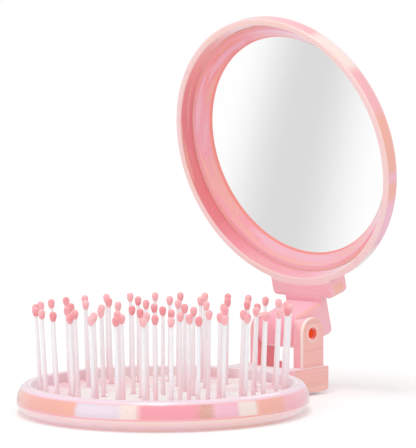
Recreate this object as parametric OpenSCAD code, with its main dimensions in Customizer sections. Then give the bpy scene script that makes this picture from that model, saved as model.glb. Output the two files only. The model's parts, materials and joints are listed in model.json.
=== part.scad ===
// Folding pocket hairbrush with a round mirror: a disc of ball-tipped pins, and a
// mirror cup that folds over the pins on a two-eared hinge.
// The origin is the middle of the disc's flat underside. +Z is up, the hinge stands
// at +Y and its axis runs along X. Sizes are in millimetres.

/* [Brush disc] */
// Diameter of the brush disc
disc_d = 70; // [69:0.5:80]
// Height of the disc, from its underside to its rim
disc_h = 7; // [6.6:0.1:8]
// Height of the bottom cover, up to the parting line
cover_h = 2.7; // [2.5:0.05:3]
// How far the cover's edge rounds in at the table
cover_round = 5.3; // [2:0.1:7]
// How far the rim's outer edge rounds in at the top
rim_round = 2.3; // [1:0.1:2.8]
// Width of the rim, from the disc's edge to the recess
rim_w = 3.4; // [3.2:0.1:4]
// Rounding of the rim's inner edge
rim_edge = 0.3; // [0.1:0.05:0.4]

/* [Pin plate] */
// Thickness of the pin plate at its edge
plate_t = 1.5; // [1.3:0.1:2]
// How far the middle of the pin plate is dished below its edge
plate_dish = 0.6; // [0:0.1:0.7]
// Rounding of the plate's top edge
plate_edge = 0.5; // [0.2:0.1:0.8]
// Gap between the plate's edge and the recess wall
plate_gap = 0.15; // [0.05:0.05:0.3]
// Width of the ledge under the plate's edge
ledge_w = 0.6; // [0.4:0.1:0.7]
// Thickness of that ledge
ledge_h = 0.3; // [0.2:0.05:0.5]
// Thickness of the disc that backs the pin heads
backing_t = 0.7; // [0.5:0.05:0.8]

/* [Pins] */
// Number of pins in the innermost ring
pin_count_1 = 6; // [3:1:12]
// Number of pins in the second ring
pin_count_2 = 12; // [6:1:24]
// Number of pins in the third ring
pin_count_3 = 18; // [9:1:36]
// Number of pins in the outermost ring
pin_count_4 = 30; // [12:1:48]
// Distance from the outermost pins to the recess wall
ring_margin = 2.2; // [2:0.1:4]
// Length of a pin above the plate, with its tip
pin_l = 21.3; // [16:0.1:21.6]
// Diameter of a pin at the plate
pin_root_d = 1.1; // [0.9:0.05:1.3]
// Diameter of a pin under its tip
pin_neck_d = 0.86; // [0.7:0.02:1]
// Outward lean of the outermost pins, in degrees
pin_lean = 2.9; // [0:0.1:3.5]
// Diameter of a ball tip
tip_d = 1.7; // [1.4:0.05:1.9]
// Height of a ball tip
tip_h = 2.3; // [2:0.05:2.8]
// Diameter of the head that holds a pin under the plate
head_d = 2.1; // [1.6:0.1:2.4]
// Thickness of that head
head_t = 0.5; // [0.3:0.05:0.6]
// Depth of the countersink round a pin
countersink = 0.3; // [0.1:0.05:0.4]

/* [Hinge] */
// Distance from the disc's edge to the hinge axis
hinge_out = 9.8; // [9:0.1:14]
// Height of the hinge axis above the disc's rim
hinge_rise = 8.5; // [8:0.1:11]
// Width over both ears
ears_w = 17.8; // [16:0.1:20]
// Thickness of one ear
ear_t = 2.75; // [2.2:0.05:3.2]
// How far the ears' inner faces reach to the front and the back of the hinge axis
ear_reach = 4.35; // [4.1:0.05:4.7]
// Flat top of the ears' inner faces above the hinge axis
ear_top = 3.5; // [3:0.1:4]
// Rounding of the upper corners of the ears' inner faces
ear_corner = 0.4; // [0.2:0.1:2]
// Radius of the arch of the ears' outer faces
ear_arch = 4.2; // [3.8:0.05:4.4]
// Rounding of the edge round that arch
ear_edge = 0.35; // [0.2:0.05:0.8]
// How far the block stands out past the ears
block_step = 0.9; // [0.4:0.05:1.5]
// Height of the block's underside above the table
block_z = 0.8; // [0.3:0.1:1.4]
// Rounding of the block's upright edges
block_corner = 0.6; // [0.3:0.1:1.8]
// Rounding of the block's lower back edge
block_keel = 1.7; // [0.6:0.1:1.8]
// Rounding of the block's upper back edge
block_crown = 0.6; // [0.2:0.1:1]
// Distance from the disc's edge to the ramp between the ears
ramp_out = 3.6; // [3:0.1:4.5]
// How far the ramp falls towards the block's back
ramp_drop = 2.2; // [0.5:0.1:2.6]
// Diameter of the hinge pin
hinge_pin_d = 2.8; // [2.2:0.05:3.2]
// How deep each end of the hinge pin lies in its ear
hinge_pin_set = 0.9; // [0.3:0.1:1.4]
// Width of the chamfer round the hinge pin's holes
hole_chamfer = 0.35; // [0.1:0.05:0.5]

/* [Mirror arm] */
// Gap between the tongue and each ear
tongue_gap = 0.25; // [0.2:0.05:0.4]
// How far the tongue's front lies inside the ears' fronts
tongue_inset = 0.15; // [0.1:0.05:0.5]
// Rounding of the tongue's upper front edge
tongue_nose = 3.6; // [2:0.1:3.8]
// Top of the tongue above the hinge axis
tongue_top = 4.7; // [4.4:0.1:5.2]
// Slope of the tongue's top towards the lip, in degrees
tongue_slope = 4; // [0:0.5:6]
// Underside of the tongue below the hinge axis
tongue_bottom = 3.8; // [3.4:0.05:3.8]
// Thickness of the tongue's neck behind the lip
neck_t = 2.2; // [1.6:0.1:3.5]
// Rounding of the tongue's long edges
tongue_edge = 1; // [0.3:0.1:1.4]
// Rounding of the tongue's and the shoulder's back edges
arm_round = 1.6; // [0.8:0.1:1.8]
// Width of the shoulder under the cup
shoulder_w = 19.5; // [14:0.5:22]
// Clearance of the shoulder over the ears' arches
shoulder_clear = 2; // [1.6:0.05:2.5]
// Depth of the shoulder behind the lip
shoulder_t = 6.2; // [4.5:0.1:7]

/* [Mirror cup] */
// How far the cup's edge lies inside the disc's edge
cup_inset = 0.3; // [0:0.05:1]
// Depth of the cup, from its lip to its back
cup_depth = 10.8; // [10.6:0.1:13]
// Width of the bevel round the cup's back
cup_bevel = 7; // [5:0.1:7.5]
// Rounding between the bevel and the cup's back
back_round = 4; // [1:0.5:6]
// Rounding between the bevel and the cup's side
side_round = 2.5; // [0.5:0.5:3]
// Width of the cup's lip
lip_w = 1.7; // [1.4:0.1:1.9]
// Rounding of the lip's outer edge
lip_round = 0.5; // [0.2:0.1:0.8]
// Chamfer of the lip's inner edge
lip_chamfer = 0.25; // [0.1:0.05:0.4]
// Distance of the lip behind the hinge axis
lip_back = 8.2; // [8:0.1:9]
// How far the shut cup's middle lies past the disc's middle
cup_shift = 0.4; // [0:0.1:0.6]
// Draft of the cup's inner wall
wall_draft = 0.6; // [0.2:0.1:0.8]
// Wall of the cup, square to its bevel
bevel_wall = 1.45; // [1.2:0.05:1.5]
// Thickness of the cup's back, behind the tape
back_wall = 1.8; // [1.2:0.1:2.2]
// Width of the retaining ring's flat face
ring_w = 1.3; // [0.8:0.1:1.6]
// Height of the retaining ring's outer edge
ring_band = 0.15; // [0.1:0.05:0.6]
// Thickness of the retaining ring's foot on the glass
ring_foot = 0.2; // [0.1:0.05:0.4]
// Thickness of the mirror glass
glass_t = 1.2; // [0.8:0.05:1.2]
// Bevel of the glass's back edge
glass_bevel = 0.4; // [0.1:0.05:0.5]
// How far the retaining ring covers the glass's edge
ring_cover = 0.4; // [0.2:0.05:0.8]
// Thickness of the tape behind the glass
tape_t = 0.4; // [0.2:0.05:0.5]
// Margin between the tape's edge and the glass's edge
tape_margin = 3; // [1:0.5:8]

/* [Fold] */
// Opening angle of the mirror: 0 is folded shut, 130 is fully open
open_angle = 75.5; // [0:0.5:130]

/* [Hidden] */
// Radial clearances of the pressed and the turning joints, and of the glass
fit = 0.02;
slip = 0.05;
seat_gap = 0.1;
over = 0.5;
arc_steps = 6;
edge_steps = 3;
slab = 0.02;
$fn = 96;

disc_r = disc_d / 2;
hinge_y = disc_r + hinge_out;
hinge_z = disc_h + hinge_rise;
recess_r = disc_r - rim_w;
ledge_r = recess_r - ledge_w;
plate_r = recess_r - plate_gap;
plate_z = cover_h + ledge_h;
plate_top = plate_z + plate_t;
head_z = plate_z - head_t;
backing_z = head_z - backing_t;
lip_t = 0.8;
lip_h = 0.7;
lip_r = recess_r + rim_w / 3;

pins_per_ring = [1, pin_count_1, pin_count_2, pin_count_3, pin_count_4];
rings = len(pins_per_ring) - 1;
outer_ring_r = recess_r - ring_margin;
backing_margin = 0.25;
backing_r = outer_ring_r + head_d / 2 + backing_margin;
root_r = pin_root_d / 2;
neck_r = pin_neck_d / 2;
spigot_step = 0.06;
spigot_r = neck_r - spigot_step;
tip_r = tip_d / 2;
stem_l = pin_l - tip_h;
spigot_l = tip_h / 2;

ear_out = ears_w / 2;
ear_in = ear_out - ear_t;
block_w = ears_w + 2 * block_step;
block_back = hinge_y + ear_reach + block_step;
pin_bevel = 0.3;

tongue_w = 2 * (ear_in - tongue_gap);
tongue_r = ear_reach - tongue_inset;
tongue_back = lip_back + neck_t;
shoulder_low = ear_arch + shoulder_clear;
shoulder_back = lip_back + shoulder_t;
arm_l = hinge_y - cup_shift;
cup_r = disc_r - cup_inset;
cup_back = lip_back + cup_depth;
bore_r = cup_r - lip_w;
ring_r = bore_r - wall_draft;
pocket_back = cup_back - back_wall;
tape_back = pocket_back - tape_t;
glass_back = tape_back - glass_t;
ring_back = bevel_back(ring_r) - ring_band;
pocket_step = 0.15;
pocket_r = bevel_back(0) - glass_back - pocket_step;
glass_r = pocket_r - seat_gap;

function unit(v) = v / norm(v);

// Arc of radius r at the corner p between its neighbours a and b
function corner(a, p, b, r) = let(
        u = unit(a - p),
        w = unit(b - p),
        half = acos(u * w) / 2,
        middle = p + unit(u + w) * r / sin(half),
        start = p + u * r / tan(half) - middle,
        end = p + w * r / tan(half) - middle,
        from = atan2(start.y, start.x),
        turn = atan2(cross(start, end), start * end)
    )
    [for (i = [0 : arc_steps])
        let(t = from + turn * i / arc_steps) middle + r * [cos(t), sin(t)]];

// Outline through [x, y, radius] points, with its corners rounded
function rounded(path) = let(
        n = len(path),
        p = [for (q = path) [q.x, q.y]]
    )
    [for (i = [0 : n - 1])
        each path[i].z == 0
            ? [p[i]]
            : corner(p[(i + n - 1) % n], p[i], p[(i + 1) % n], path[i].z)];

// Quarter of an ellipse round c, from angle t0 to t0 + 90
function quarter(c, rx, ry, t0) =
    [for (i = [0 : 2 * arc_steps])
        let(t = t0 + 45 * i / arc_steps) c + [rx * cos(t), ry * sin(t)]];

// Height of the dished pin plate at radius r
function floor_z(r) = plate_top - plate_dish * (1 - pow(min(r / outer_ring_r, 1), 2));

// Line along the inside of the cup's bevel: distance behind the axis at radius r
function bevel_back(r) = cup_back - cup_bevel + cup_r - r - bevel_wall * sqrt(2);

module solid_ring(r, w, h) {
    difference() {
        cylinder(r = r + w / 2, h = h);
        translate([0, 0, -over]) cylinder(r = r - w / 2, h = h + 2 * over);
    }
}

// Outline in X and Y, extruded up; outline in Y and Z, extruded along X
module along_x(w) {
    rotate([90, 0, 90]) linear_extrude(w, center = true) children();
}

// ---- Brush disc ----

// Block that joins the disc to the hinge, rounded at its free edges
module hinge_block() {
    front = sqrt(pow(recess_r, 2) - pow(block_w / 2, 2)) - over;
    intersection() {
        linear_extrude(disc_h)
            polygon(rounded([
                [-block_w / 2, front, 0], [block_w / 2, front, 0],
                [block_w / 2, block_back, block_corner],
                [-block_w / 2, block_back, block_corner]]));
        along_x(block_w)
            polygon(rounded([
                [front, block_z, 0], [block_back, block_z, block_keel],
                [block_back, disc_h, block_crown], [front, disc_h, 0]]));
    }
}

module cover_band() {
    translate([0, 0, -over]) cylinder(r = hinge_y + disc_r, h = cover_h + over);
}

// Ramp between the ears, which lets the tongue swing back
module ramp() {
    front = disc_r + ramp_out;
    slope = ramp_drop / (block_back - front);
    along_x(2 * ear_in)
        polygon([
            [front, disc_h], [block_back + over, disc_h - ramp_drop - over * slope],
            [block_back + over, disc_h + over], [front, disc_h + over]]);
}

// Thin side outline of an ear that ends at x: how far it reaches before and behind the
// hinge axis, its height over it, and the rounding of its upper corners
module ear_outline(x, reach, top, r) {
    translate([x - slab / 2, hinge_y, 0])
        along_x(slab)
            polygon(rounded([
                [-reach, 0, 0], [reach, 0, 0],
                [reach, hinge_z + top, r], [-reach, hinge_z + top, r]]));
}

// One ear: its square-shouldered inner face blends into the arch of its outer face
module ear() {
    hull() {
        ear_outline(ear_in + slab, ear_reach, ear_top, ear_corner);
        for (i = [0 : edge_steps])
            let(
                t = 90 * i / edge_steps,
                arch = ear_arch - ear_edge * (1 - cos(t))
            )
            ear_outline(ear_out - ear_edge * (1 - sin(t)), arch, arch, arch - slab);
    }
}

// Hole for the hinge pin, chamfered at the ear's outer face
module ear_hole() {
    hole_r = hinge_pin_d / 2 + fit;
    translate([ear_in - over, hinge_y, hinge_z])
        rotate([0, 90, 0]) cylinder(r = hole_r, h = ear_t + 2 * over);
    translate([ear_out - hole_chamfer, hinge_y, hinge_z])
        rotate([0, 90, 0])
            cylinder(r1 = hole_r, r2 = hole_r + 2 * hole_chamfer, h = 2 * hole_chamfer);
}

// Rim, hinge block and ears in one moulding
module base_top() {
    color("lightpink")
    difference() {
        union() {
            rotate_extrude()
                polygon(concat(
                    [[0, cover_h]],
                    quarter([disc_r - rim_round, cover_h], rim_round, disc_h - cover_h, 0),
                    [[0, disc_h]]));
            difference() {
                hinge_block();
                cover_band();
                ramp();
            }
            intersection() {
                union() {
                    ear();
                    mirror([1, 0, 0]) ear();
                }
                translate([0, 0, disc_h - over])
                    cylinder(r = hinge_y + disc_r, h = hinge_z + ear_arch);
            }
        }
        translate([0, 0, cover_h - over]) cylinder(r = ledge_r, h = disc_h);
        translate([0, 0, plate_z]) cylinder(r = recess_r, h = disc_h);
        translate([0, 0, disc_h - rim_edge])
            cylinder(r1 = recess_r, r2 = recess_r + 2 * rim_edge, h = 2 * rim_edge);
        translate([0, 0, cover_h - over])
            solid_ring(lip_r, lip_t + 2 * slip, lip_h + seat_gap + over);
        ear_hole();
        mirror([1, 0, 0]) ear_hole();
    }
}

// Cover that closes the disc and the block from below
module base_bottom() {
    color("pink")
    difference() {
        union() {
            rotate_extrude()
                polygon(concat(
                    [[0, 0]],
                    quarter([disc_r - cover_round, cover_h], cover_round, cover_h, 270),
                    [[0, cover_h]]));
            intersection() {
                hinge_block();
                cover_band();
            }
            solid_ring(lip_r, lip_t, cover_h + lip_h);
        }
        translate([0, 0, backing_z]) cylinder(r = ledge_r, h = disc_h);
    }
}

// ---- Pins ----

// Places one copy for each pin of a ring, at its foot
module at_ring(ring) {
    count = pins_per_ring[ring];
    for (i = [0 : count - 1])
        rotate(90 + 360 * i / count)
            translate([outer_ring_r * ring / rings, 0, 0])
                children();
}

// Leans a pin or its hole outwards about the point where the pin leaves the plate
module leaned(ring) {
    translate([0, 0, floor_z(outer_ring_r * ring / rings)])
        rotate([0, pin_lean * ring / rings, 0])
            children();
}

// Flat head under the plate, and a stem with a spigot for the ball tip
module pins(ring) {
    foot_z = head_z + head_t / 2 - floor_z(outer_ring_r * ring / rings);
    color("white")
    at_ring(ring) {
        translate([0, 0, head_z]) cylinder(r = head_d / 2, h = head_t, $fn = 24);
        leaned(ring)
            rotate_extrude($fn = 24)
                polygon([
                    [0, foot_z], [root_r, foot_z], [root_r, 0], [neck_r, stem_l],
                    [spigot_r, stem_l], [spigot_r, stem_l + spigot_l],
                    [0, stem_l + spigot_l]]);
    }
}

// Half outline of a ball tip: an egg that starts at the pin's neck
function egg() = let(
        middle = tip_h - tip_r,
        foot = acos(neck_r / tip_r),
        low = middle / sin(foot),
        steps = 2 * arc_steps
    )
    [for (i = [0 : steps])
        let(t = (90 + foot) * i / steps - foot)
        [tip_r * cos(t), middle + (t < 0 ? low : tip_r) * sin(t)]];

// Egg-shaped balls, each with a hole for its pin's spigot
module tips(ring) {
    hole_r = spigot_r + fit;
    hole_h = spigot_l + fit;
    color("lightcoral")
    at_ring(ring)
        leaned(ring)
            translate([0, 0, stem_l])
                rotate_extrude($fn = 32)
                    polygon(concat([[0, hole_h], [hole_r, hole_h], [hole_r, 0]], egg()));
}

// Dished plate with a countersunk hole for every pin
module pin_plate() {
    color("lightpink")
    difference() {
        rotate_extrude()
            polygon(concat(
                [[0, plate_z], [plate_r, plate_z]],
                quarter([plate_r - plate_edge, plate_top - plate_edge],
                    plate_edge, plate_edge, 0),
                [for (i = [arc_steps : -1 : 0])
                    let(r = outer_ring_r * i / arc_steps) [r, floor_z(r)]]));
        for (ring = [0 : rings])
            at_ring(ring)
                leaned(ring) {
                    translate([0, 0, -plate_t - over])
                        cylinder(r = root_r + fit, h = plate_t + 2 * over, $fn = 24);
                    translate([0, 0, -countersink])
                        cylinder(r1 = root_r + fit, r2 = root_r + fit + 2 * countersink,
                            h = 2 * countersink, $fn = 24);
                }
    }
}

module pin_backing() {
    color("white")
    translate([0, 0, backing_z]) cylinder(r = backing_r, h = backing_t);
}

module hinge_pin() {
    r = hinge_pin_d / 2;
    half = ear_out - hinge_pin_set;
    color("silver")
    translate([0, hinge_y, hinge_z])
        rotate([0, 90, 0])
            rotate_extrude()
                polygon([
                    [0, -half], [r - pin_bevel, -half], [r, pin_bevel - half],
                    [r, half - pin_bevel], [r - pin_bevel, half], [0, half]]);
}

// ---- Mirror ----

// The mirror's own frame: Y runs up the arm from the hinge axis, Z faces the user,
// so what lies behind the axis has a negative Z
module mirror_pose() {
    translate([0, hinge_y, hinge_z]) rotate([180 - open_angle, 0, 0]) children();
}

// Outline in radius and distance behind the axis, turned about the cup's middle
module cup_turn(path) {
    translate([0, arm_l, 0])
        rotate_extrude()
            polygon([for (p = path) [p.x, -p.y]]);
}

// Tongue that turns on the hinge pin between the ears
module tongue() {
    reach = 2 * (tongue_back + tongue_r);
    intersection() {
        along_x(tongue_w)
            polygon(rounded([
                [tongue_top - tongue_r * tan(tongue_slope), tongue_r, tongue_nose],
                [tongue_top + tongue_back * tan(tongue_slope), -tongue_back, 0],
                [-tongue_bottom, -tongue_back, arm_round],
                [-tongue_bottom, tongue_r, tongue_bottom - over]]));
        // Rounded long edges of the sloping top, then those of the underside
        rotate([tongue_slope, 0, 0])
            linear_extrude(reach, center = true)
                polygon(rounded([
                    [-tongue_w / 2, -reach, 0], [tongue_w / 2, -reach, 0],
                    [tongue_w / 2, tongue_top * cos(tongue_slope), tongue_edge],
                    [-tongue_w / 2, tongue_top * cos(tongue_slope), tongue_edge]]));
        linear_extrude(reach, center = true)
            polygon(rounded([
                [-tongue_w / 2, -tongue_bottom, tongue_edge],
                [tongue_w / 2, -tongue_bottom, tongue_edge],
                [tongue_w / 2, reach, 0], [-tongue_w / 2, reach, 0]]));
    }
    // Neck between the tongue and the shoulder
    translate([-tongue_w / 2, 0, -tongue_back])
        cube([tongue_w, shoulder_low + over, tongue_back - lip_back]);
}

// Shoulder that spreads the neck into the cup's wall
module shoulder() {
    top = arm_l - cup_r + cup_depth / 2;
    intersection() {
        linear_extrude(2 * cup_back, center = true)
            polygon(rounded([
                [-shoulder_w / 2, shoulder_low, arm_round],
                [shoulder_w / 2, shoulder_low, arm_round],
                [shoulder_w / 2, top, 0], [-shoulder_w / 2, top, 0]]));
        along_x(shoulder_w)
            polygon(rounded([
                [shoulder_low, -lip_back, tongue_edge], [top, -lip_back, 0],
                [top, -shoulder_back, 0], [shoulder_low, -shoulder_back, arm_round]]));
    }
}

// Cup, shoulder and tongue in one moulding
module mirror_shell() {
    color("lightpink")
    mirror_pose()
    difference() {
        union() {
            cup_turn(rounded([
                [0, cup_back, 0], [cup_r - cup_bevel, cup_back, back_round],
                [cup_r, cup_back - cup_bevel, side_round],
                [cup_r, lip_back, lip_round], [0, lip_back, 0]]));
            shoulder();
            tongue();
        }
        cup_turn(rounded([
            [0, lip_back - over, 0], [bore_r + lip_chamfer, lip_back - over, 0],
            [bore_r + lip_chamfer, lip_back, 0], [bore_r, lip_back + lip_chamfer, 0],
            [ring_r, ring_back, 0], [ring_r, bevel_back(ring_r), 0],
            [pocket_r, bevel_back(pocket_r), 0],
            [pocket_r, tape_back - glass_bevel, 0],
            [pocket_r - glass_bevel, tape_back, 0],
            [pocket_r - glass_bevel, pocket_back, 0], [0, pocket_back, 0]]));
        rotate([0, 90, 0])
            cylinder(r = hinge_pin_d / 2 + slip, h = ears_w, center = true);
    }
}

module mirror_glass() {
    color("gainsboro")
    mirror_pose()
        cup_turn([
            [0, glass_back], [glass_r, glass_back], [glass_r, tape_back - glass_bevel],
            [glass_r - glass_bevel, tape_back], [0, tape_back]]);
}

// Retaining ring: a flat face, then a cone down to the glass
module glass_ring() {
    out_r = ring_r - seat_gap;
    in_r = glass_r - ring_cover;
    foot_r = out_r + bevel_back(out_r) - slip - glass_back;
    color("pink")
    mirror_pose()
        cup_turn([
            [out_r - ring_w, ring_back], [out_r, ring_back],
            [out_r, bevel_back(out_r) - slip], [foot_r, glass_back],
            [in_r, glass_back], [in_r, glass_back - ring_foot]]);
}

module glass_tape() {
    color("dimgray")
    mirror_pose()
        cup_turn([
            [0, tape_back], [glass_r - tape_margin, tape_back],
            [glass_r - tape_margin, pocket_back], [0, pocket_back]]);
}

base_top();
base_bottom();
pin_plate();
pin_backing();
hinge_pin();
pins(0);  // pin_center
pins(1);  // pins_ring_1
pins(2);  // pins_ring_2
pins(3);  // pins_ring_3
pins(4);  // pins_ring_4
tips(0);  // tip_center
tips(1);  // tips_ring_1
tips(2);  // tips_ring_2
tips(3);  // tips_ring_3
tips(4);  // tips_ring_4
mirror_shell();
mirror_glass();
glass_ring();
glass_tape();
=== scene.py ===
"""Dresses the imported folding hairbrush: pearly pink plastic, milky pins with pink ball tips,
a mirror in its cup, and a pale studio with the camera at the photograph's angle.

Objects are in metres, in the row frame. The paints find their places in millimetres.
"""

import json
import math

import bmesh
import bpy
from bpy.props import FloatProperty, FloatVectorProperty, PointerProperty
from mathutils import Matrix, Vector


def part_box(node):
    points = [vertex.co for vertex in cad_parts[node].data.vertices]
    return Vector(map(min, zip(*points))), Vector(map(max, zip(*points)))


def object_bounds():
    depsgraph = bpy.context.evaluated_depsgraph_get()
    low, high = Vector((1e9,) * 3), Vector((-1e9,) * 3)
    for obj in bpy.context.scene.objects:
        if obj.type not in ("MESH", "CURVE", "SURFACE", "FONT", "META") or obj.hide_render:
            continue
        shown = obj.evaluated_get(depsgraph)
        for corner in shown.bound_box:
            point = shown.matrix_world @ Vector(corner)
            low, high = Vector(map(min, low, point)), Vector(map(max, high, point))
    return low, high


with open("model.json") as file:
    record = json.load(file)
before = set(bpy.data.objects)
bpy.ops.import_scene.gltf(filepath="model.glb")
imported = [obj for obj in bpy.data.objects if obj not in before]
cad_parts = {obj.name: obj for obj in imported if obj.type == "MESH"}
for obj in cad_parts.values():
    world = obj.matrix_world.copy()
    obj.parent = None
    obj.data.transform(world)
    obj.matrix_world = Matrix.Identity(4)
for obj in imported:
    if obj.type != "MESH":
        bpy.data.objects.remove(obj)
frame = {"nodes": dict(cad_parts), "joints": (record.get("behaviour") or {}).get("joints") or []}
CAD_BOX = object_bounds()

bl_info = {
    "name": "Folding hairbrush with mirror",
    "version": (1, 0, 0),
    "blender": (4, 5, 0),
    "location": "View3D > Sidebar > Hairbrush",
    "description": "Dresses a packed folding hairbrush with its plastics, mirror and studio",
    "category": "Object",
}

MM = 0.001
FULL_TURN = 360
WHITE = (1.0, 1.0, 1.0, 1.0)

PIN_NODES = ("pin_center", "pins_ring_1", "pins_ring_2", "pins_ring_3", "pins_ring_4")
TIP_NODES = ("tip_center", "tips_ring_1", "tips_ring_2", "tips_ring_3", "tips_ring_4")

# Places in the model, in millimetres
HINGE = Vector(frame["joints"][0]["pos_m"]) / MM
DISC_R = CAD_BOX[1][0] / MM
DISC_TOP = 7.0
PLATE_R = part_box("pin_plate")[1][0] / MM
GLASS_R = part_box("mirror_glass")[1][0] / MM
PINS_PER_RING = (6, 12, 18, 30)
OUTER_RING_R = 29.4
# Every ring has a pin at this share of the turn, which is at +Y
PIN_TURN = 0.75

# The cup's own frame stands at the glass: its Y runs up the arm, its Z out of the glass
OPEN_ANGLE = 75.5
ARM_L = 44.4
GLASS_BEHIND = 16.2
CUP_TURN = math.radians(180 - OPEN_ANGLE)
CUP_MIDDLE = HINGE + Matrix.Rotation(CUP_TURN, 3, "X") @ Vector((0, ARM_L, -GLASS_BEHIND))

# Where the paints lie, in millimetres: a pair is a band's two ends, or a fade from its
# first value, where the paint is absent, to its second, where it is full
SEAM_Z, SEAM_R = (2.6, 2.95), (33.5, 34.0)
COVER_Z = (3.2, 0.0)
# The rim's side takes painted reflections in patches, and painted shade
RIM_SIDE_Z, RIM_SIDE_R = (3.1, 6.15), (33.2, 33.6)
# Painted highlight along the rim's top edge
RIM_HIGHLIGHT_Z, RIM_HIGHLIGHT_R = (6.1, 6.6), (32.2, 33.2)
# Painted light that makes the rim's inner wall pale
RIM_INSIDE_Z, RIM_INSIDE_R = (4.2, 4.6), (32.4, 32.0)
BEYOND_DISC_R = (DISC_R + 0.4, DISC_R + 0.8)
# Painted shade in patches near the plate's edge and in spots round the pins' roots
PLATE_EDGE_R = (18, PLATE_R)
ROOT_SHADE_R = (1.5, 0.7)
BLOCK_Y = (36.5, 37.5)
# Painted shade on the ears' inner faces
EAR_SHADE_X, EAR_SHADE_Z = (6.25, 6.1), (17.0, 12.0)
# Painted highlight along the arches of the ears' outer faces
ARCH_HIGHLIGHT_R, ARCH_HIGHLIGHT_X, ARCH_HIGHLIGHT_Y = (3.85, 4.6), (8.25, 8.5), (1.0, -1.0)
ARCH_HIGHLIGHT_Z = (DISC_TOP, DISC_TOP + 0.3)
# Painted red shade inside the ears' holes, with a painted highlight in a ring round each
HOLE_SHADE_R, HOLE_HIGHLIGHT_R, HOLE_HIGHLIGHT_X = (1.62, 1.5), (1.5, 2.3), (8.4, 8.7)

# The same in the cup's own frame
CUP_R = (34.95, 34.8)
# Painted reflections and painted shade outside the cup
CUP_OUTSIDE_R, CUP_OUTSIDE_FRONT, CUP_OUTSIDE_BACK = (33.9, 34.3), (7.9, 7.3), (-0.5, 2.5)
# Painted shade and reflections inside the cup
CUP_INSIDE_R, CUP_INSIDE_FRONT, CUP_INSIDE_BACK = (33.3, 33.1), (8.0, 7.6), (3.0, 3.5)
# Painted highlight on the lip
LIP_HIGHLIGHT_Z, LIP_HIGHLIGHT_R = (7.5, 7.8), (32.9, 35.0)
SHOULDER_Y, TONGUE_Y = (-34.2, -34.8), (-38.0, -38.4)
# Painted sheen in a peach patch on the shoulder's sides
SHOULDER_PATCH_Y, SHOULDER_PATCH_Z = (-37.3, -34.8), (3.0, 6.6)
# Painted highlight in peach on the ring's step
RING_STEP_HIGHLIGHT_R = (31.9, 32.6)
RING_LINE_R = (GLASS_R + 0.1, GLASS_R - 0.1)

# Painted shade that darkens the sides of the rim and the cup, and how far the sheen is drawn out
# along X, Y and Z
RIM_SHADE = (0.95, 0.88, 0.9, 1.0)
CUP_SHADE = (0.97, 0.9, 0.88, 1.0)
FLOW_STRETCH = (0.3, 0.3, 1.6)
EAR_STRETCH = (0.2, 0.06, 1.4)
ROUGHNESS_DRIFT = (-0.06, 0.08)

TAPE_DARK = (0.05, 0.05, 0.05, 1.0)
TAPE_PALE = (0.12, 0.12, 0.12, 1.0)

# Floor, with its half size in metres and the rest in millimetres
FLOOR_HALF = 4.0
SHADOW_END = (110.0, 260.0)
PAPER_WHITE = (0.9, 0.93)
FLOOR_GLOW = 1.06
CARD_MIDDLE = (-108.0, -60.0)
CARD_NORMAL = (0.85, -0.527)
CARD_EDGE = (3.0, 30.0)

# Lamps: name, place and size in metres, the setting with its power, and its share of that
LAMPS = (
    ("key", (0.05, -0.12, 0.55), (0.2, 0.2), "key_power", 1.0),
    ("front", (-0.12, -0.6, 0.25), (0.4, 0.4), "fill_power", 1.3),
    ("right", (0.55, 0.0, 0.25), (0.3, 0.4), "fill_power", 0.6),
)
LAMP_TARGET = (0.0, 0.01, 0.04)

IMAGE_WIDTH = 416
SENSOR_WIDTH = 36.0
CAMERA_CLIP = (0.01, 20.0)


def srgb(code):
    """Linear colour of a hex code, as it is written for a screen."""
    parts = [int(code[i:i + 2], 16) / 255 for i in (0, 2, 4)]
    return tuple(p / 12.92 if p <= 0.04045 else ((p + 0.055) / 1.055) ** 2.4 for p in parts)


def rgba(color):
    """The colour with full alpha."""
    return (*tuple(color)[:3], 1.0)


# ---------------------------------------------------------------- node helpers


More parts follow.
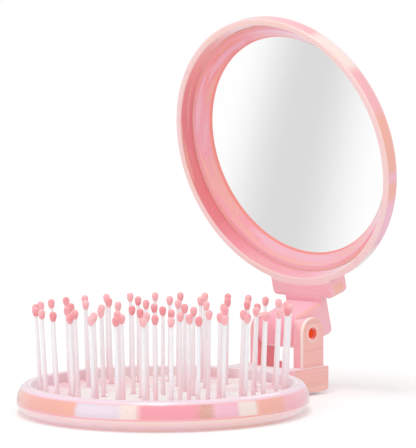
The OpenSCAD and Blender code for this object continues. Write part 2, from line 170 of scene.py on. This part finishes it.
class Sheet:
    """A material's node tree, with short calls that add nodes and join them."""

    def __init__(self, name):
        self.material = bpy.data.materials.new(name)
        self.material.use_nodes = True
        self.tree = self.material.node_tree
        self.tree.nodes.clear()
        self.output = self.tree.nodes.new("ShaderNodeOutputMaterial")
        self.coordinates = self.add("ShaderNodeTexCoord")

    def add(self, kind, inputs=(), **settings):
        """Adds a node. Each input is given a value, or a socket that it is linked to."""
        node = self.tree.nodes.new(kind)
        for key, value in settings.items():
            setattr(node, key, value)
        for key, value in dict(inputs).items():
            if isinstance(value, bpy.types.NodeSocket):
                self.tree.links.new(value, node.inputs[key])
            else:
                node.inputs[key].default_value = value
        return node

    def math(self, operation, *values):
        node = self.add("ShaderNodeMath", dict(enumerate(values)), operation=operation)
        return node.outputs[0]

    def times(self, *factors):
        product = factors[0]
        for factor in factors[1:]:
            product = self.math("MULTIPLY", product, factor)
        return product

    def length(self, a, b):
        return self.math("SQRT", self.math("ADD", self.times(a, a), self.times(b, b)))

    def mix(self, factor, a, b, blend="MIX"):
        # a mix node's inputs 6 and 7, and its output 2, are the ones for colours
        inputs = {0: factor, 6: a, 7: b}
        return self.add("ShaderNodeMix", inputs, data_type="RGBA", blend_type=blend).outputs[2]

    def paint(self, color, factor, tint):
        """The colour, with a tint laid over it where the factor is 1."""
        if not isinstance(tint, bpy.types.NodeSocket):
            tint = rgba(tint)
        return self.mix(factor, color, tint)

    def place(self, middle=(0, 0, 0), turn=0.0):
        """Object coordinates in millimetres, about a middle, turned about X."""
        scaled = self.add(
            "ShaderNodeMapping",
            {"Vector": self.coordinates.outputs["Object"], "Scale": (1 / MM, 1 / MM, 1 / MM)})
        moved = self.add(
            "ShaderNodeMapping",
            {"Vector": scaled.outputs[0], "Location": tuple(middle), "Rotation": (turn, 0, 0)},
            vector_type="TEXTURE")
        return moved.outputs[0]

    def split(self, vector):
        return self.add("ShaderNodeSeparateXYZ", {0: vector}).outputs

    def join(self, x, y, z):
        return self.add("ShaderNodeCombineXYZ", {0: x, 1: y, 2: z}).outputs[0]

    def stretch(self, parts, factors):
        """A vector of three parts, each times its own factor."""
        return self.join(*(self.times(part, factor) for part, factor in zip(parts, factors)))

    def normal(self):
        return self.split(self.coordinates.outputs["Normal"])

    def polar(self, x, y):
        """Radius, and share of the turn: 0 at -X, 0.25 at -Y, 0.5 at +X and 0.75 at +Y."""
        angle = self.math("ARCTAN2", y, x)
        return self.length(x, y), self.math("MULTIPLY_ADD", angle, 1 / math.tau, 0.5)

    def noise(self, vector, scale, detail=2.0, roughness=0.5, distortion=0.0):
        inputs = {"Vector": vector, "Scale": scale, "Detail": detail,
                  "Roughness": roughness, "Distortion": distortion}
        return self.add("ShaderNodeTexNoise", inputs).outputs["Fac"]

    def smooth(self, value, low, high, to_low=0.0, to_high=1.0):
        """Smooth step from to_low at low to to_high at high. low may be the larger one."""
        inputs = {"Value": value, "From Min": low, "From Max": high,
                  "To Min": to_low, "To Max": to_high}
        node = self.add("ShaderNodeMapRange", inputs, interpolation_type="SMOOTHSTEP")
        return node.outputs[0]

    def window(self, value, low, high, edge):
        """1 between low and high, falling to 0 over edge at either end."""
        rise = self.smooth(value, low - edge / 2, low + edge / 2)
        fall = self.smooth(value, high - edge / 2, high + edge / 2, to_low=1.0, to_high=0.0)
        return self.times(rise, fall)

    def patches(self, turn, spans, edge):
        """Colours round a full turn. Each span has its start, in degrees from +X, and its
        colour; a change of colour takes edge degrees."""
        ramp = self.add("ShaderNodeValToRGB", {0: turn})
        half_edge = edge / (2 * FULL_TURN)
        stops = []
        for (_, before), (start, after) in zip(spans, spans[1:]):
            at = 0.5 + start / FULL_TURN
            stops += [(at - half_edge, before), (at + half_edge, after)]
        elements = ramp.color_ramp.elements
        for element, (at, color) in zip(elements, (stops[0], stops[-1])):
            element.position, element.color = at, rgba(color)
        for at, color in stops[1:-1]:
            elements.new(at).color = rgba(color)
        return ramp.outputs[0]

    def bump(self, height, strength, distance):
        inputs = {"Height": height, "Strength": strength, "Distance": distance}
        return self.add("ShaderNodeBump", inputs).outputs[0]

    def finish(self, inputs):
        """The material, with a Principled shader that has these inputs."""
        shader = self.add("ShaderNodeBsdfPrincipled", inputs)
        self.tree.links.new(shader.outputs[0], self.output.inputs["Surface"])
        return self.material


def dress(node_name, material):
    """Gives a CAD node one material on all its faces."""
    slots = frame["nodes"][node_name].data.materials
    slots.clear()
    slots.append(material)


# ---------------------------------------------------------------- settings


def color_setting(name, description, code):
    return FloatVectorProperty(name=name, description=description, subtype="COLOR",
                               size=3, min=0, max=1, default=srgb(code))


class PearlPlasticSettings(bpy.types.PropertyGroup):
    pink: color_setting("Pink", "Main colour of the pearly shells", "FFBCC2")
    rose: color_setting("Rose", "Deeper pink of the sheen", "FFA4B6")
    coral: color_setting("Coral", "Orange pink inside the cup", "FF8F88")
    deep: color_setting("Deep rose", "Colour of the shaded hollows", "F5727E")
    peach: color_setting("Peach", "Orange side of the sheen", "FDB9A5")
    tan: color_setting("Tan", "Brownish side of the sheen", "E6A89C")
    lilac: color_setting("Lilac", "Violet side of the sheen", "FCC0D4")
    cream: color_setting("Cream", "Palest, yellowish side of the sheen", "FFEEE6")
    lavender: color_setting("Lavender", "Palest, bluish side of the sheen", "F0E0EE")
    # Painted light that makes the inner wall round the plate pale
    rim_inside_light: color_setting("Rim, inside", "Pale wall round the plate", "FFF4F8")
    # Painted shade on the ears' inner faces
    ear_inside_shade: color_setting("Ears, inside", "Red of the ears' inner faces", "FF6070")
    # Painted red shade inside the ears' holes
    hole: color_setting("Hinge hole", "Orange red in the ears' holes", "FF5A30")
    roughness: FloatProperty(
        name="Roughness", description="Roughness under the clear coat",
        subtype="FACTOR", min=0, max=1, default=0.3)


class PinSettings(bpy.types.PropertyGroup):
    stem: color_setting("Stem", "Milky white of the pins", "F6F6FA")
    stem_cloud: color_setting("Stem, clouded", "White of the pins' clouds", "FAF8FA")
    # Painted pink bounce light from the plate on the pins' roots
    root: color_setting("Root", "Pink that the plate casts on the pins' roots", "FADCE2")
    tip: color_setting("Ball tip", "Pale pink of the ball tips", "FFC0C4")
    tip_deep: color_setting("Ball tip, deep", "Deeper pink of some tips", "F59AA0")
    tip_speckle: color_setting("Ball tip, speckle", "Palest specks of the tips", "FFD4D6")
    axle: color_setting("Hinge pin", "Orange red of the hinge pin", "FF5020")
    axle_deep: color_setting("Hinge pin, deep", "Darker clouds of the hinge pin", "F04418")


class MirrorSettings(bpy.types.PropertyGroup):
    silver: color_setting("Silver", "Tint of the mirror", "FEFEFE")


class StudioSettings(bpy.types.PropertyGroup):
    card: color_setting("Grey card", "Grey that the mirror reflects", "DCDCDC")
    floor_shadow: FloatProperty(
        name="Floor shadow", description="Share of the floor's white that a shadow can take",
        subtype="FACTOR", min=0, max=1, default=0.88)
    sky_light: FloatProperty(
        name="Sky", description="Strength of the soft light from all sides",
        min=0, default=0.76)
    key_power: FloatProperty(
        name="Key light", description="Power of the light above",
        unit="POWER", min=0, default=0.66)
    fill_power: FloatProperty(
        name="Fill light", description="Power of the lights at the sides",
        unit="POWER", min=0, default=0.4)
    camera_place: FloatVectorProperty(
        name="Camera", description="Place of the camera",
        subtype="TRANSLATION", unit="LENGTH", size=3, default=(0.3754, -0.38299, 0.07881))
    camera_yaw: FloatProperty(
        name="Yaw", description="Turn of the camera from +Y towards -X",
        subtype="ANGLE", default=math.radians(43.261))
    camera_drop: FloatProperty(
        name="Drop", description="How far the camera looks down",
        subtype="ANGLE", default=math.radians(3.626))
    camera_roll: FloatProperty(
        name="Roll", description="Roll of the camera about its own axis",
        subtype="ANGLE", default=math.radians(-0.233))
    focal_pixels: FloatProperty(
        name="Focal length", description="Focal length in pixels of the image",
        subtype="PIXEL", min=100, default=2254.0)


# ---------------------------------------------------------------- pearly plastic


def pearl_plastic(name, settings, base, paint):
    """Pearly gloss plastic: broad drifting sheen colours, flow lines and a clear coat.
    paint lays the colours of one piece over the common ones."""
    m = Sheet(name)
    place = m.place()
    drift = m.noise(place, 0.045, roughness=0.45, distortion=0.6)
    lines = m.stretch(m.split(place), FLOW_STRETCH)
    flow = m.noise(lines, 0.22, detail=3.0, roughness=0.55, distortion=0.3)
    color = m.paint(rgba(base), m.smooth(drift, 0.5, 0.68, to_high=0.6), settings.peach)
    color = m.paint(color, m.smooth(drift, 0.48, 0.32, to_high=0.6), settings.lilac)
    color = m.paint(color, m.smooth(flow, 0.56, 0.7, to_high=0.4), settings.rose)
    shine = m.noise(place, 0.12)
    roughness = (settings.roughness + change for change in ROUGHNESS_DRIFT)
    return m.finish({
        "Base Color": paint(m, settings, color),
        "Roughness": m.smooth(shine, 0.2, 0.8, *roughness),
        "Coat Weight": 0.7, "Coat Roughness": 0.05,
        "Thin Film Thickness": 420.0, "Thin Film IOR": 1.6,
        "Normal": m.bump(m.noise(place, 0.2, detail=1.0), 0.08, 0.0004),
    })


def rim_paint(m, s, color):
    """Painted reflections in crisp patches of sheen round the rim's side, with painted shade
    over that side, under a painted highlight along the top edge; the pale inner wall is painted
    light.
    """
    x, y, z = m.split(m.place())
    radius, turn = m.polar(x, y)
    # painted reflections: crisp patches of colour round the rim's side
    spans = (
        (-180, s.pink), (-150, s.lilac), (-128, s.peach), (-80.5, s.lavender),
        (-62, s.cream), (-55, s.rose), (-32, s.tan), (-26.5, s.lilac), (-16, s.cream),
        (-7.5, s.peach), (8, s.pink), (40, s.rose), (62, s.tan), (118, s.lavender),
        (140, s.rose), (160, s.pink),
    )
    on_disc = m.smooth(radius, *BEYOND_DISC_R, to_low=1.0, to_high=0.0)
    side = m.times(m.window(z, *RIM_SIDE_Z, 0.3), m.smooth(radius, *RIM_SIDE_R), on_disc)
    color = m.paint(color, side, m.patches(turn, spans, 1.5))
    # painted shade over the rim's side
    color = m.mix(side, color, RIM_SHADE, "MULTIPLY")
    # painted highlight along the rim's top edge
    edge = m.times(m.smooth(z, *RIM_HIGHLIGHT_Z), m.smooth(radius, *RIM_HIGHLIGHT_R), on_disc)
    color = m.paint(color, m.times(edge, 0.75), s.lavender)
    # painted light that makes the rim's inner wall pale
    inside = m.times(m.smooth(radius, *RIM_INSIDE_R), m.smooth(z, *RIM_INSIDE_Z))
    color = m.paint(color, m.times(inside, 0.9), s.rim_inside_light)
    seam = m.times(m.window(z, *SEAM_Z, 0.15), m.smooth(radius, *SEAM_R), 0.35)
    return m.paint(color, seam, s.deep)


def hinge_paint(m, s, color):
    """Block and ears: rose fronts and peach sides with tan stripes, painted sheen that follows
    each face's direction; painted shade on the ears' inner faces, a pale painted highlight round
    the arches and round the holes, and painted red shade in the holes.
    """
    place = m.split(m.place())
    x, y, z = place
    nx, ny, _ = m.normal()
    across, sideways = m.math("ABSOLUTE", x), m.math("ABSOLUTE", nx)
    above, behind = m.math("SUBTRACT", z, HINGE.z), m.math("SUBTRACT", y, HINGE.y)
    on_block = m.smooth(y, *BLOCK_Y)
    # painted sheen by facing: rose block fronts, peach sides with tan stripes
    front = m.times(on_block, m.smooth(ny, -0.3, -0.8, to_high=0.45))
    color = m.paint(color, front, s.rose)
    sides = m.times(on_block, m.smooth(sideways, 0.5, 0.9, to_high=0.75))
    color = m.paint(color, sides, s.peach)
    stripes = m.smooth(m.noise(m.stretch(place, EAR_STRETCH), 1.0), 0.52, 0.62, to_high=0.5)
    color = m.paint(color, m.times(sides, stripes), s.tan)
    # painted shade on the ears' inner faces
    inside = m.times(m.smooth(across, *EAR_SHADE_X), on_block, m.smooth(z, *EAR_SHADE_Z),
                     m.smooth(sideways, 0.4, 0.8))
    color = m.paint(color, inside, s.ear_inside_shade)
    # painted highlight along the arches of the ears' outer faces
    arch = m.length(behind, m.math("MAXIMUM", above, 0.0))
    line = m.times(m.window(arch, *ARCH_HIGHLIGHT_R, 0.1), m.smooth(across, *ARCH_HIGHLIGHT_X),
                   m.smooth(behind, *ARCH_HIGHLIGHT_Y), m.smooth(z, *ARCH_HIGHLIGHT_Z))
    color = m.paint(color, m.times(line, 0.9), s.cream)
    bore = m.length(behind, above)
    # painted highlight in a ring round each hole
    ring = m.times(m.window(bore, *HOLE_HIGHLIGHT_R, 0.2), m.smooth(across, *HOLE_HIGHLIGHT_X))
    color = m.paint(color, m.times(ring, 0.3), s.cream)
    # painted red shade inside the holes
    return m.paint(color, m.times(m.smooth(bore, *HOLE_SHADE_R), on_block), s.hole)


def base_top_paint(m, s, color):
    return hinge_paint(m, s, rim_paint(m, s, color))


def cover_paint(m, s, color):
    """The cover below the parting line is paler than the rim."""
    z = m.split(m.place())[2]
    pale = m.smooth(z, *COVER_Z, to_low=0.6, to_high=0.3)
    return hinge_paint(m, s, m.paint(color, pale, s.cream))


def plate_paint(m, s, color):
    """Pale plate with soft rose patches near the rim, painted shade in deep rose patches there,
    and painted shade in spots round the pins' roots.
    """
    x, y, _ = m.split(m.place())
    radius, turn = m.polar(x, y)
    broad = m.noise(m.place(), 0.09, distortion=0.4)
    near_rim = m.smooth(radius, *PLATE_EDGE_R)
    color = m.paint(color, m.times(near_rim, m.smooth(broad, 0.42, 0.5)), s.rose)
    # painted shade: deep rose patches near the rim
    deep = m.times(near_rim, m.smooth(broad, 0.5, 0.55, to_high=0.8))
    color = m.paint(color, deep, s.deep)
    for ring, count in enumerate(PINS_PER_RING, start=1):
        # the phase puts the pin at PIN_TURN in the middle of its share of the turn
        phase = 0.5 - PIN_TURN * count % 1
        share = m.math("FRACT", m.math("MULTIPLY_ADD", turn, count, phase))
        along = m.times(m.math("SUBTRACT", share, 0.5), radius, math.tau / count)
        ring_r = OUTER_RING_R * ring / len(PINS_PER_RING)
        away = m.length(along, m.math("SUBTRACT", radius, ring_r))
        # painted shade in a spot round each pin's root
        color = m.paint(color, m.smooth(away, *ROOT_SHADE_R, to_high=0.7), s.deep)
    return color


def cup_polar(m):
    """Place in the cup's own frame: Y, Z, radius from its axis and share of the turn."""
    x, y, z = m.split(m.place(CUP_MIDDLE, CUP_TURN))
    return (y, z, *m.polar(x, y))


def round_flow(m, scale_along, scale_across):
    """Noise drawn out along the cup's circumference."""
    x, y, z = m.split(m.place(CUP_MIDDLE, CUP_TURN))
    radius = m.length(x, y)
    along = (m.times(m.math("DIVIDE", part, radius), scale_along) for part in (x, y))
    across = m.times(m.math("SUBTRACT", radius, z), scale_across)
    return m.noise(m.join(*along, across), 1.0)


def cup_paint(m, s, color):
    """Mirror cup: crisp patches of painted reflection outside, with painted shade over them, a
    painted highlight on the pale lip, and painted shade and reflections inside in deep rose and
    other colours, with peach streaks round it.
    """
    y, z, radius, turn = cup_polar(m)
    # painted reflections: crisp patches of colour round the cup's outer wall
    outer_reflections = (
        (-180, s.lilac), (-150, s.peach), (-120, s.rose), (-95, s.pink), (-58, s.cream),
        (-44, s.lilac), (-20, s.peach), (-11, s.lilac), (-9, s.peach), (17, s.pink),
        (38, s.cream), (60, s.pink), (112, s.rose), (140, s.cream), (152, s.pink),
    )
    # painted shade and reflections round the inner wall, deep rose where it is shaded
    inner_shade_and_reflections = (
        (-180, s.deep), (-130, s.rose), (-60, s.pink), (-30, s.lilac), (-10, s.pink),
        (50, s.lilac), (88, s.rose), (108, s.coral), (150, s.deep),
    )
    outside = m.times(m.smooth(radius, *CUP_OUTSIDE_R), m.smooth(z, *CUP_OUTSIDE_FRONT),
                      m.smooth(z, *CUP_OUTSIDE_BACK), m.smooth(radius, *CUP_R))
    color = m.paint(color, outside, m.patches(turn, outer_reflections, 4.0))
    # painted shade over the cup's outer wall
    color = m.mix(outside, color, CUP_SHADE, "MULTIPLY")
    inside = m.times(m.smooth(radius, *CUP_INSIDE_R), m.smooth(z, *CUP_INSIDE_FRONT),
                     m.smooth(z, *CUP_INSIDE_BACK))
    color = m.paint(color, m.times(inside, 0.9), m.patches(turn, inner_shade_and_reflections, 30.0))
    # painted reflections: peach streaks round the inner wall
    streaks = m.smooth(round_flow(m, 1.4, 1.3), 0.58, 0.66, to_high=0.6)
    color = m.paint(color, m.times(inside, streaks), s.peach)
    # painted highlight on the lip
    lip = m.times(m.smooth(z, *LIP_HIGHLIGHT_Z), m.window(radius, *LIP_HIGHLIGHT_R, 0.2))
    color = m.paint(color, m.times(lip, 0.45), s.cream)
    return arm_paint(m, s, color, y, z)


def arm_paint(m, s, color, y, z):
    """Shoulder and tongue: rose fronts, pink sides and a peach patch on them, painted sheen that
    follows each face's direction, and a painted highlight in peach along the rounded edges.
    y and z are in the cup's own frame."""
    nx, ny, _ = m.normal()
    sideways = m.math("ABSOLUTE", nx)
    arm = m.smooth(y, *SHOULDER_Y)
    tongue = m.smooth(y, *TONGUE_Y, to_low=0.2, to_high=0.9)
    # painted sheen by facing: rose fronts and pink sides, with a peach patch on the sides
    color = m.paint(color, m.times(arm, tongue, m.smooth(ny, 0.1, -0.5)), s.rose)
    side = m.times(arm, m.smooth(sideways, 0.8, 0.95))
    color = m.paint(color, m.times(side, 0.7), s.pink)
    patch = m.times(side, m.window(y, *SHOULDER_PATCH_Y, 0.3),
                    m.window(z, *SHOULDER_PATCH_Z, 0.3))
    color = m.paint(color, patch, s.peach)
    # painted highlight in peach along the rounded edges
    return m.paint(color, m.times(arm, m.window(sideways, 0.2, 0.88, 0.15), 0.7), s.peach)


def ring_paint(m, s, color):
    """Retaining ring: painted reflections in patches and streaks round it, a painted highlight
    in peach on the step, and a coral line at the glass.
    """
    _, _, radius, turn = cup_polar(m)
    # painted reflections in patches and streaks round the ring
    spans = (
        (-180, s.rose), (-110, s.pink), (-60, s.rose), (-30, s.lilac), (20, s.pink),
        (70, s.lilac), (100, s.coral), (150, s.rose),
    )
    color = m.paint(color, 0.8, m.patches(turn, spans, 30.0))
    streaks = round_flow(m, 1.6, 2.6)
    color = m.paint(color, m.smooth(streaks, 0.52, 0.6, to_high=0.5), s.peach)
    color = m.paint(color, m.smooth(streaks, 0.46, 0.38, to_high=0.6), s.lilac)
    # painted highlight in peach on the ring's step
    color = m.paint(color, m.times(m.window(radius, *RING_STEP_HIGHLIGHT_R, 0.2), 0.9), s.peach)
    return m.paint(color, m.smooth(radius, *RING_LINE_R), s.coral)


# ---------------------------------------------------------------- other materials


def pin_nylon(settings):
    """Milky nylon, pinker towards the plate, where pink bounce light from the plate is painted
    on.
    """
    m = Sheet("pin_nylon")
    place = m.place()
    z = m.split(place)[2]
    cloud = m.noise(place, 0.16)
    color = m.paint(rgba(settings.stem), m.smooth(cloud, 0.35, 0.65), settings.stem_cloud)
    # painted pink bounce light from the plate, stronger towards the roots
    color = m.paint(color, m.smooth(z, 16.0, 4.0, to_high=0.85), settings.root)
    return m.finish({
        "Base Color": color, "Roughness": m.smooth(cloud, 0.2, 0.8, 0.32, 0.44),
        "Subsurface Weight": 0.3, "Subsurface Radius": (1.0, 0.95, 0.95),
        "Subsurface Scale": 0.001, "Normal": m.bump(m.noise(place, 1.4), 0.05, 0.0001),
    })


def tip_plastic(settings):
    """Pink plastic of the ball tips, some deeper than others."""
    m = Sheet("tip_plastic")
    place = m.place()
    each = m.noise(place, 0.14, detail=1.0)
    color = m.paint(rgba(settings.tip), m.smooth(each, 0.42, 0.62), settings.tip_deep)
    speckle = m.smooth(m.noise(place, 1.3), 0.55, 0.7, to_high=0.3)
    color = m.paint(color, speckle, settings.tip_speckle)
    return m.finish({
        "Base Color": color, "Roughness": m.smooth(each, 0.2, 0.8, 0.34, 0.46),
        "Normal": m.bump(m.noise(place, 2.2), 0.06, 0.0001),
    })


def axle_plastic(settings):
    """Dull orange red plastic of the hinge pin."""
    m = Sheet("axle_plastic")
    cloud = m.noise(m.place(), 0.5)
    deep = m.smooth(cloud, 0.45, 0.65, to_high=0.5)
    return m.finish({
        "Base Color": m.paint(rgba(settings.axle), deep, settings.axle_deep),
        "Roughness": m.smooth(cloud, 0.3, 0.7, 0.6, 0.75), "Specular IOR Level": 0.2,
    })


def mirror_silver(settings):
    """Silvered glass, very slightly hazed in places."""
    m = Sheet("mirror_silver")
    haze = m.noise(m.place(), 0.06, detail=3.0)
    return m.finish({
        "Base Color": rgba(settings.silver), "Metallic": 1.0,
        "Roughness": m.smooth(haze, 0.3, 0.8, 0.0, 0.02),
    })


def foam_tape():
    """Dark foam with open cells."""
    m = Sheet("foam_tape")
    cells = m.noise(m.place(), 1.5, detail=3.0)
    return m.finish({
        "Base Color": m.mix(cells, TAPE_DARK, TAPE_PALE),
        "Roughness": m.smooth(cells, 0.2, 0.8, 0.8, 0.95),
        "Normal": m.bump(cells, 0.4, 0.0002),
    })


# ---------------------------------------------------------------- operators


class HAIRBRUSH_OT_shells(bpy.types.Operator):
    """Gives the disc, its cover, its plate and the mirror cup their pearly plastic"""

    bl_idname = "hairbrush.shells"
    bl_label = "Shells"

    def execute(self, context):
        s = context.scene.hairbrush_pearl
        for name, base, paint in (
            ("base_top", s.pink, base_top_paint), ("base_bottom", s.pink, cover_paint),
            ("pin_plate", s.cream, plate_paint), ("mirror_shell", s.pink, cup_paint),
            ("glass_ring", s.rose, ring_paint),
        ):
            dress(name, pearl_plastic(name + "_pearl", s, base, paint))
        return {"FINISHED"}


class HAIRBRUSH_OT_pins(bpy.types.Operator):
    """Gives the pins, their ball tips, their backing and the hinge pin their plastics"""

    bl_idname = "hairbrush.pins"
    bl_label = "Pins"

    def execute(self, context):
        settings = context.scene.hairbrush_pins
        nylon = pin_nylon(settings)
        for name in (*PIN_NODES, "pin_backing"):
            dress(name, nylon)
        tip = tip_plastic(settings)
        for name in TIP_NODES:
            dress(name, tip)
        dress("hinge_pin", axle_plastic(settings))
        return {"FINISHED"}


class HAIRBRUSH_OT_mirror(bpy.types.Operator):
    """Silvers the glass, which reflects the studio alone, and dresses the foam tape"""

    bl_idname = "hairbrush.mirror"
    bl_label = "Mirror"

    def execute(self, context):
        dress("mirror_glass", mirror_silver(context.scene.hairbrush_mirror))
        dress("glass_tape", foam_tape())
        for name, node in frame["nodes"].items():
            node.visible_glossy = name == "mirror_glass"
        return {"FINISHED"}


class HAIRBRUSH_OT_studio(bpy.types.Operator):
    """Sets up the white floor, the soft lights and the camera"""

    bl_idname = "hairbrush.studio"
    bl_label = "Studio"

    def execute(self, context):
        settings = context.scene.hairbrush_studio
        scene = context.scene
        scene.view_settings.view_transform = "Standard"
        self.floor(scene, settings)
        self.world(scene, settings)
        for name, place, size, power, share in LAMPS:
            self.lamp(scene, name, place, size, share * getattr(settings, power))
        self.camera(scene, settings)
        return {"FINISHED"}

    def floor(self, scene, settings):
        mesh = bpy.data.meshes.new("floor")
        bm = bmesh.new()
        bmesh.ops.create_grid(bm, x_segments=1, y_segments=1, size=FLOOR_HALF)
        bm.to_mesh(mesh)
        bm.free()
        obj = bpy.data.objects.new("floor", mesh)
        scene.collection.objects.link(obj)
        mesh.materials.append(self.floor_paper(settings))

    def floor_paper(self, settings):
        """White paper. Seen by the camera it glows enough to be white, and keeps the
        object's shadow; seen in the mirror it is white with a soft grey card across it."""
        m = Sheet("floor_paper")
        x, y, _ = m.split(m.place())
        path = m.add("ShaderNodeLightPath").outputs
        seen = m.math("MAXIMUM", path["Is Camera Ray"], path["Is Transmission Ray"])
        mirrored = path["Is Glossy Ray"]
        far = m.smooth(m.length(x, y), *SHADOW_END)
        shadow = m.math("SUBTRACT", settings.floor_shadow, m.times(far, settings.floor_shadow))
        grain = m.smooth(m.noise(m.place(), 0.03), 0.3, 0.7, *PAPER_WHITE)
        albedo = m.add("ShaderNodeMix", {0: seen, 2: grain, 3: shadow}).outputs[0]
        lit = m.times(albedo, m.math("SUBTRACT", 1.0, mirrored))
        glow = m.times(seen, m.math("SUBTRACT", FLOOR_GLOW, shadow))
        offsets = (m.times(m.math("ADD", part, -middle), share)
                   for part, middle, share in zip((x, y), CARD_MIDDLE, CARD_NORMAL))
        from_card = m.math("ABSOLUTE", m.math("ADD", *offsets))
        card = m.mix(m.smooth(from_card, *CARD_EDGE), rgba(settings.card), WHITE)
        return m.finish({
            "Base Color": m.join(lit, lit, lit), "Roughness": 0.9,
            "Specular IOR Level": 0.0, "Emission Color": m.mix(mirrored, WHITE, card),
            "Emission Strength": m.math("MAXIMUM", glow, mirrored),
        })

    def world(self, scene, settings):
        """Soft light from all sides, which the camera and the mirror see as plain white."""
        world = bpy.data.worlds.new("studio")
        world.use_nodes = True
        tree = world.node_tree
        tree.nodes.clear()
        output = tree.nodes.new("ShaderNodeOutputWorld")
        backgrounds = []
        for strength in (settings.sky_light, 1.0):
            node = tree.nodes.new("ShaderNodeBackground")
            node.inputs["Color"].default_value = WHITE
            node.inputs["Strength"].default_value = strength
            backgrounds.append(node)
        path = tree.nodes.new("ShaderNodeLightPath")
        seen = path.outputs["Is Camera Ray"]
        for other in ("Is Glossy Ray", "Is Transmission Ray"):
            either = tree.nodes.new("ShaderNodeMath")
            either.operation = "MAXIMUM"
            tree.links.new(seen, either.inputs[0])
            tree.links.new(path.outputs[other], either.inputs[1])
            seen = either.outputs[0]
        mix = tree.nodes.new("ShaderNodeMixShader")
        tree.links.new(seen, mix.inputs[0])
        for socket, node in zip(mix.inputs[1:], backgrounds):
            tree.links.new(node.outputs[0], socket)
        tree.links.new(mix.outputs[0], output.inputs["Surface"])
        scene.world = world

    def lamp(self, scene, name, place, size, power):
        """Area lamp that faces LAMP_TARGET."""
        data = bpy.data.lights.new(name, "AREA")
        data.shape = "RECTANGLE"
        data.size, data.size_y = size
        data.energy = power
        obj = bpy.data.objects.new(name, data)
        obj.location = place
        obj.rotation_mode = "QUATERNION"
        away = Vector(place) - Vector(LAMP_TARGET)
        obj.rotation_quaternion = away.to_track_quat("Z", "Y")
        scene.collection.objects.link(obj)

    def camera(self, scene, settings):
        """Camera that looks along its yaw and drop, rolled about that line."""
        yaw, drop, roll = settings.camera_yaw, settings.camera_drop, settings.camera_roll
        forward = Vector((-math.sin(yaw) * math.cos(drop), math.cos(yaw) * math.cos(drop),
                          -math.sin(drop)))
        level = Vector((math.cos(yaw), math.sin(yaw), 0.0))
        upright = level.cross(forward)
        right = math.cos(roll) * level + math.sin(roll) * upright
        up = math.cos(roll) * upright - math.sin(roll) * level
        data = bpy.data.cameras.new("photo_camera")
        data.sensor_fit = "HORIZONTAL"
        data.sensor_width = SENSOR_WIDTH
        data.lens = settings.focal_pixels * data.sensor_width / IMAGE_WIDTH
        data.clip_start, data.clip_end = CAMERA_CLIP
        obj = bpy.data.objects.new("photo_camera", data)
        turn = Matrix((right, up, -forward)).transposed()
        obj.matrix_world = Matrix.Translation(settings.camera_place) @ turn.to_4x4()
        scene.collection.objects.link(obj)
        scene.camera = obj


class HAIRBRUSH_PT_panel(bpy.types.Panel):
    """Lists the settings and the operators"""

    bl_idname = "HAIRBRUSH_PT_panel"
    bl_label = "Hairbrush"
    bl_space_type = "VIEW_3D"
    bl_region_type = "UI"
    bl_category = "Hairbrush"

    def draw(self, context):
        layout = self.layout
        for name, (label, _) in SETTINGS.items():
            box = layout.box()
            box.label(text=label)
            group = getattr(context.scene, name)
            for prop in group.__annotations__:
                box.prop(group, prop)
        for operator in OPERATORS:
            layout.operator(operator.bl_idname)


# The scene's property for each group of settings, with its label and its class
SETTINGS = {
    "hairbrush_pearl": ("Pearly plastic", PearlPlasticSettings),
    "hairbrush_pins": ("Pins", PinSettings),
    "hairbrush_mirror": ("Mirror", MirrorSettings),
    "hairbrush_studio": ("Studio", StudioSettings),
}
OPERATORS = (
    HAIRBRUSH_OT_shells,
    HAIRBRUSH_OT_pins,
    HAIRBRUSH_OT_mirror,
    HAIRBRUSH_OT_studio,
)
CLASSES = (*(group for _, group in SETTINGS.values()), *OPERATORS, HAIRBRUSH_PT_panel)


def register():
    for cls in CLASSES:
        bpy.utils.register_class(cls)
    for name, (_, group) in SETTINGS.items():
        setattr(bpy.types.Scene, name, PointerProperty(type=group))


def unregister():
    for name in SETTINGS:
        delattr(bpy.types.Scene, name)
    for cls in reversed(CLASSES):
        bpy.utils.unregister_class(cls)


def main():
    register()
    for operator in (bpy.ops.hairbrush.shells, bpy.ops.hairbrush.pins,
                     bpy.ops.hairbrush.mirror, bpy.ops.hairbrush.studio):
        operator()


if __name__ == "__main__":
    main()
